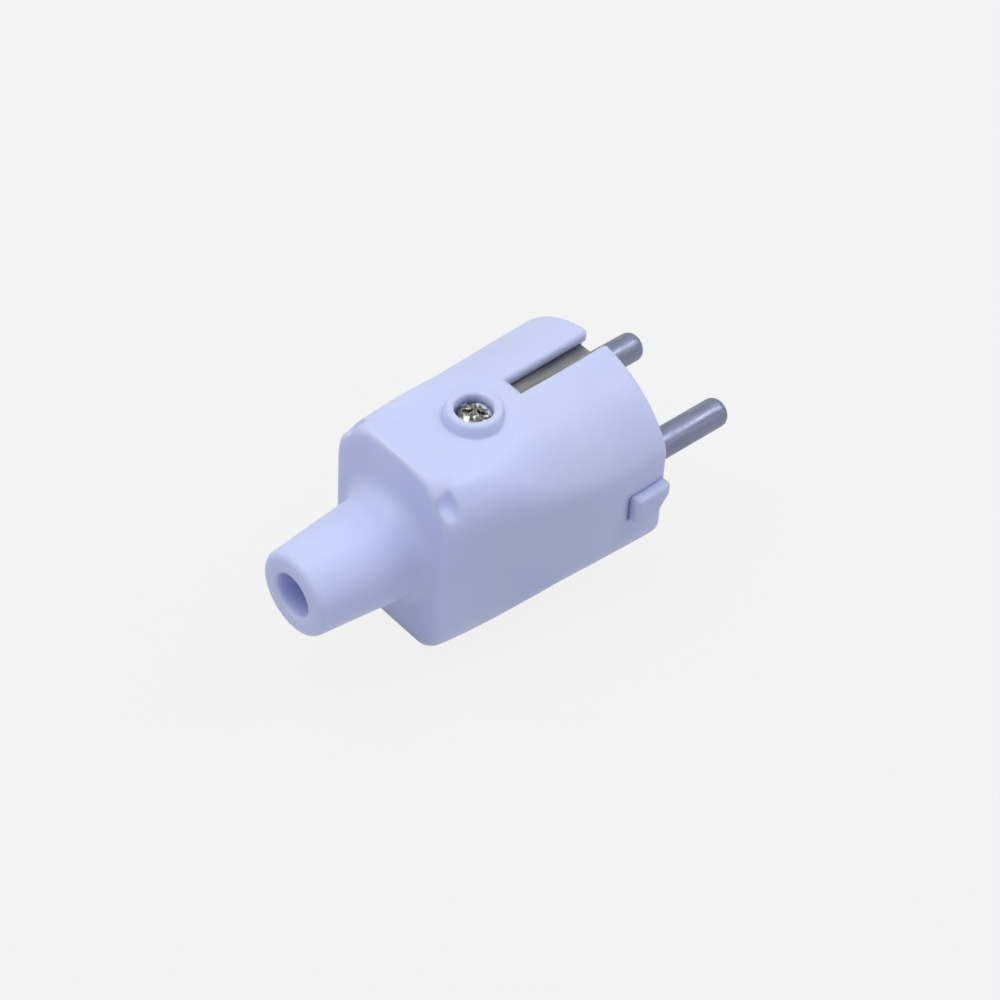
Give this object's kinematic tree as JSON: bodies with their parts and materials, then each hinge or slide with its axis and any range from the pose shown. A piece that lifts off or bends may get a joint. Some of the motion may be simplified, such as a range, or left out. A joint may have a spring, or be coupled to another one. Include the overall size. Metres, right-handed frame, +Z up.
{
  "type": "type f plug",
  "caption": "Straight rewireable type F mains plug: white moulded cover with cord cone, round contact pins, earth contacts in slots and a cross-recess cover screw.",
  "frame": {"origin": "centre of the engagement face, midway between the two pins", "axes": "+X along the plug's axis towards the pins' tips, +Z up on the side of the cover screw, +Y to the left seen from behind the plug, looking along +X"},
  "size_m": [0.076, 0.037, 0.0366],
  "materials": {
    "cover_plastic": "satin, faintly blue white",
    "carrier_plastic": "satin, faintly blue white",
    "nickel_plated_brass": "satin nickel plate",
    "zinc_plated_steel": "zinc plate",
    "strip_metal": "satin nickel plate",
    "bright_steel": "bright nickel plate"
  },
  "bodies": {
    "root": {"outer_cover": "cover_plastic", "pin_carrier": "carrier_plastic", "pin_left": "nickel_plated_brass", "pin_right": "nickel_plated_brass", "terminal_screw_left": "zinc_plated_steel", "terminal_screw_right": "zinc_plated_steel", "earth_strip": "strip_metal", "earth_washer": "zinc_plated_steel", "earth_screw": "zinc_plated_steel", "cord_clamp_bar": "carrier_plastic", "clamp_screw_left": "zinc_plated_steel", "clamp_screw_right": "zinc_plated_steel", "cover_screw": "bright_steel", "cover_nut": "zinc_plated_steel"}
  },
  "joints": []
}
